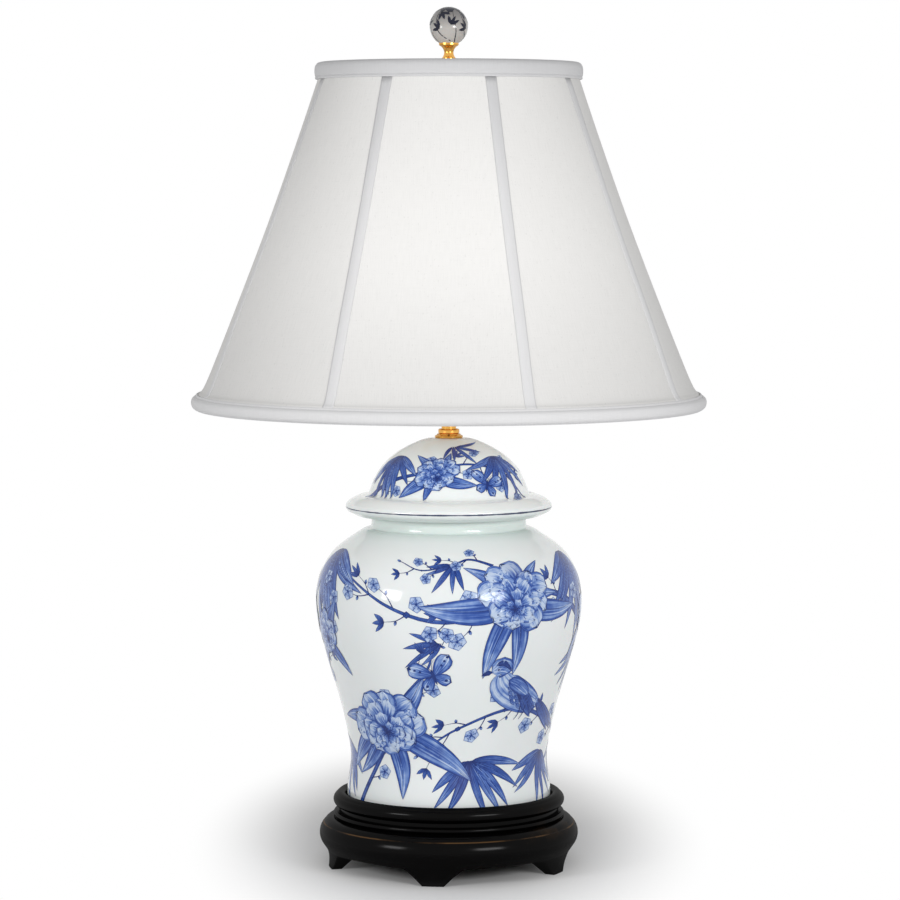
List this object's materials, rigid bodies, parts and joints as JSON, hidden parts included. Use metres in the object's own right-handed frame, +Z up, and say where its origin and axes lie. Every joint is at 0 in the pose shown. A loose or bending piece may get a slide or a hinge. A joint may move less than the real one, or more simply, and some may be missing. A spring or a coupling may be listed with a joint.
{
  "type": "table lamp",
  "caption": "Table lamp: lidded blue-and-white porcelain jar on a black carved stand, brass fittings, harp and eight-panel bell shade with a ball finial.",
  "frame": {"origin": "centre of the plane that the feet stand on", "axes": "+Z up along the lamp's axis; -Y is the side that faces the room"},
  "size_m": [0.4366, 0.4366, 0.7287],
  "materials": {
    "lacquered_wood": "black lacquer, glossy, worn to brown at the edges",
    "porcelain": "cool white glaze with underglaze blue painting",
    "ball_glaze": "warm grey-white glaze with painted sprigs",
    "polished_brass": "polished and lacquered",
    "plated_steel": "zinc plated",
    "linen": "slubbed off-white weave",
    "tape": "cool white ribbon",
    "lining": "plain white lining",
    "frame_wire": "white enamel on steel wire",
    "phenolic": "moulded, dark brown",
    "paperboard": "pressed fibre sleeve",
    "knob_plastic": "moulded, black",
    "bushing_plastic": "moulded, ivory",
    "bulb_glass": "soft white inside",
    "stem_glass": "clear",
    "bulb_base_metal": "rolled thread",
    "base_insulator": "black vitrite",
    "filament": "tungsten on steel leads"
  },
  "bodies": {
    "lamp": {"stand": "lacquered_wood", "stand_board": "lacquered_wood", "jar_body": "porcelain", "jar_lid": "porcelain", "lamp_pipe": "plated_steel", "cord_bushing": "bushing_plastic", "base_washer": "plated_steel", "base_lock_washer": "plated_steel", "base_locknut": "plated_steel", "vase_cap": "polished_brass", "neck_locknut": "polished_brass", "neck_tube": "polished_brass", "harp_saddle": "polished_brass", "socket_cap": "polished_brass", "socket_shell": "polished_brass", "socket_liner": "paperboard", "socket_core": "phenolic", "terminal_screws": "polished_brass", "screw_shell": "polished_brass", "centre_contact": "polished_brass"},
    "switch": {"switch_shaft": "polished_brass", "switch_knob": "knob_plastic"},
    "bulb": {"bulb_glass": "bulb_glass", "bulb_base": "bulb_base_metal", "bulb_insulator": "base_insulator", "bulb_contact": "bulb_base_metal", "bulb_stem": "stem_glass", "bulb_filament": "filament"},
    "harp": {"harp_wire": "polished_brass", "harp_swivel": "polished_brass"},
    "ferrule_left": {"ferrule_left": "polished_brass"},
    "ferrule_right": {"ferrule_right": "polished_brass"},
    "shade": {"shade_cover": "linen", "shade_liner": "lining", "shade_top_ring": "frame_wire", "shade_bottom_ring": "frame_wire", "shade_ribs": "frame_wire", "shade_rib_tapes": "tape", "shade_top_trim": "tape", "shade_bottom_trim": "tape", "spider_arm_1": "frame_wire", "spider_arm_2": "frame_wire", "spider_arm_3": "frame_wire", "spider_washer": "frame_wire"},
    "finial": {"finial_base": "polished_brass", "finial_ball": "ball_glaze", "finial_rod": "plated_steel"}
  },
  "joints": [
    {"name": "switch_turn", "type": "hinge", "parent": "lamp", "child": "switch", "pos_m": [0, -0.03, 0.408], "axis": [0, -1, 0], "continuous": true},
    {"name": "bulb_out", "type": "slide", "parent": "lamp", "child": "bulb", "axis": [0, 0, 1], "range_m": [0, 0.028]},
    {"name": "harp_lift", "type": "slide", "parent": "lamp", "child": "harp", "axis": [0, 0, 1], "range_m": [0, 0.016]},
    {"name": "ferrule_left_slide", "type": "slide", "parent": "harp", "child": "ferrule_left", "axis": [0, 0, 1], "range_m": [0, 0.012]},
    {"name": "ferrule_right_slide", "type": "slide", "parent": "harp", "child": "ferrule_right", "axis": [0, 0, 1], "range_m": [0, 0.012]},
    {"name": "shade_lift", "type": "slide", "parent": "harp", "child": "shade", "axis": [0, 0, 1], "range_m": [0, 0.3]},
    {"name": "finial_off", "type": "slide", "parent": "shade", "child": "finial", "axis": [0, 0, 1], "range_m": [0, 0.025]}
  ]
}
